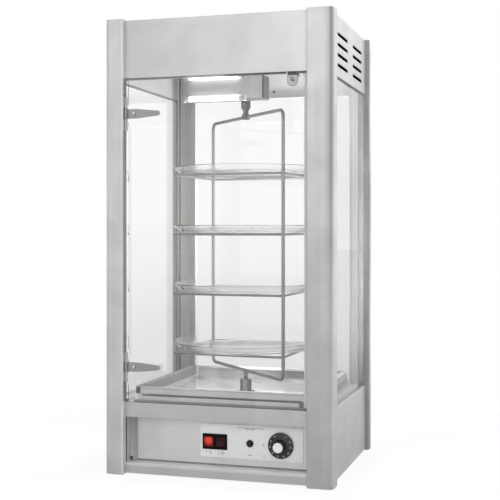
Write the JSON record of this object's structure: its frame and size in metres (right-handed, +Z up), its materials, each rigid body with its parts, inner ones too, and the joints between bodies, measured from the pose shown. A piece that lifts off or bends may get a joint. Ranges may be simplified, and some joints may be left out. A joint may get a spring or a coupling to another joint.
{
  "type": "heated food display case",
  "caption": "Upright heated food display case with steel corner posts, glass walls, a hinged glass door and a turning rack of round glass dishes above a floor pan.",
  "frame": {"origin": "middle of the footprint at the level the feet stand on", "axes": "+Z up, -Y to the front (door and controls), +X to the right seen from the front"},
  "size_m": [0.462, 0.408, 0.9],
  "materials": {
    "satin_steel": "satin brushed stainless sheet",
    "zinc_sheet": "galvanised sheet",
    "polished_steel": "polished stainless sheet",
    "pane_glass": "clear toughened glass",
    "door_glass": "clear toughened glass with polished edges",
    "dish_glass": "satin pressed glass",
    "hinge_steel": "satin steel",
    "black_plastic": "moulded black",
    "rod_steel": "polished steel rod and wire",
    "turned_steel": "turned steel",
    "motor_paint": "grey paint",
    "batten_paint": "grey enamel",
    "lamp_white": "white coated tube",
    "overlay_silver": "matt anodised plate",
    "rocker_red": "clear red",
    "rocker_dark_red": "dark red",
    "pilot_red": "dark red lens",
    "knob_black": "moulded black",
    "cap_silver": "spun disc",
    "thermostat_grey": "plain case",
    "element_sheath": "heat-tinted sheath",
    "terminal_white": "moulded white"
  },
  "bodies": {
    "case": {"post_front_left": "satin_steel", "post_front_right": "satin_steel", "post_rear_left": "satin_steel", "post_rear_right": "satin_steel", "hood_front_panel": "satin_steel", "hood_rear_panel": "satin_steel", "hood_left_panel": "satin_steel", "hood_right_panel": "satin_steel", "base_left_panel": "satin_steel", "base_right_panel": "satin_steel", "base_rear_panel": "satin_steel", "front_upper_rail": "satin_steel", "front_lower_rail": "satin_steel", "control_panel": "satin_steel", "top_cover": "satin_steel", "ceiling_plate": "satin_steel", "floor_deck": "satin_steel", "lamp_bracket": "satin_steel", "base_plate": "zinc_sheet", "element_hanger": "zinc_sheet", "drip_pan": "polished_steel", "glass_left": "pane_glass", "glass_right": "pane_glass", "glass_rear": "pane_glass", "hinge_leaf_upper": "hinge_steel", "hinge_leaf_lower": "hinge_steel", "magnetic_catch": "black_plastic", "switch_housing": "black_plastic", "cable_gland": "black_plastic", "pivot_hub": "turned_steel", "gearmotor": "motor_paint", "lamp_batten": "batten_paint", "lamp_tube_upper": "lamp_white", "lamp_tube_lower": "lamp_white", "control_plate": "overlay_silver", "pilot_lamp": "pilot_red", "thermostat": "thermostat_grey", "heating_element": "element_sheath", "terminal_block": "terminal_white"},
    "door": {"door_glass": "door_glass", "hinge_strap_upper": "hinge_steel", "hinge_strap_lower": "hinge_steel", "strike_plate": "hinge_steel"},
    "rack": {"rack_frame": "rod_steel", "shelf_frame_1": "rod_steel", "shelf_frame_2": "rod_steel", "shelf_frame_3": "rod_steel", "shelf_frame_4": "rod_steel", "dish_1": "dish_glass", "dish_2": "dish_glass", "dish_3": "dish_glass", "dish_4": "dish_glass", "drive_coupling": "turned_steel", "drive_shaft": "turned_steel"},
    "knob": {"knob": "knob_black", "knob_cap": "cap_silver", "thermostat_spindle": "turned_steel"},
    "rocker_left": {"rocker_left": "rocker_red"},
    "rocker_right": {"rocker_right": "rocker_dark_red"}
  },
  "joints": [
    {"name": "door_swing", "type": "hinge", "parent": "case", "child": "door", "pos_m": [-0.1884, -0.196, 0.4625], "axis": [0, 0, -1], "range_deg": [0, 110]},
    {"name": "rack_spin", "type": "hinge", "parent": "case", "child": "rack", "pos_m": [0, 0, 0.45], "axis": [0, 0, 1], "continuous": true},
    {"name": "knob_turn", "type": "hinge", "parent": "case", "child": "knob", "pos_m": [0.1208, -0.175, 0.069], "axis": [0, 1, 0], "range_deg": [0, 270]},
    {"name": "left_switch", "type": "hinge", "parent": "case", "child": "rocker_left", "pos_m": [-0.0255, -0.1665, 0.069], "axis": [1, 0, 0], "range_deg": [-18, 0]},
    {"name": "right_switch", "type": "hinge", "parent": "case", "child": "rocker_right", "pos_m": [-0.0005, -0.1665, 0.069], "axis": [1, 0, 0], "range_deg": [0, 18]}
  ]
}
